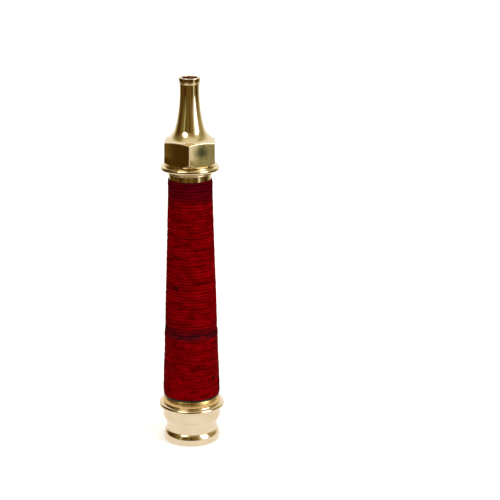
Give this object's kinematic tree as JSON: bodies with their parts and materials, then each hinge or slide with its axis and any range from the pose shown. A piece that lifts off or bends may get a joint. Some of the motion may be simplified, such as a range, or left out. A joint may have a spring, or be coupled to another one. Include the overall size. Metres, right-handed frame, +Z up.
{
  "type": "fire hose nozzle",
  "caption": "Cord-bound copper branch pipe for a fire hose, with a brass hose coupling at its base and a hexagonal screw-on brass jet at its top.",
  "frame": {"origin": "centre of the coupling's flat base", "axes": "+Z up the waterway, from the hose coupling towards the jet"},
  "size_m": [0.0888, 0.0888, 0.5],
  "materials": {
    "polished_brass": "polished",
    "satin_brass": "satin",
    "copper": "polished",
    "painted_cord": "satin",
    "black_rubber": "matte",
    "washer_leather": "matte",
    "steel": "satin"
  },
  "bodies": {
    "branch": {"barrel_tube": "copper", "branch_head": "polished_brass", "coupling_body": "satin_brass", "coupling_lock_screw": "steel", "coupling_washer": "washer_leather", "grip_cord_lower": "painted_cord", "grip_cord_upper": "painted_cord", "packing_ring": "black_rubber", "tail_piece": "polished_brass"},
    "jet_washer": {"nozzle_washer": "washer_leather"},
    "jet": {"nozzle_tip": "polished_brass"}
  },
  "joints": [
    {"name": "jet_travel", "type": "slide", "parent": "branch", "child": "jet_washer", "axis": [0, 0, 1], "range_m": [0, 0.017]},
    {"name": "jet_unscrew", "type": "hinge", "parent": "jet_washer", "child": "jet", "pos_m": [0, 0, 0.4], "axis": [0, 0, 1], "range_deg": [0, 1440]}
  ],
  "couplings": [
    {"joint": "jet_travel", "follows": "jet_unscrew", "m_per_rad": 0.00067376}
  ]
}
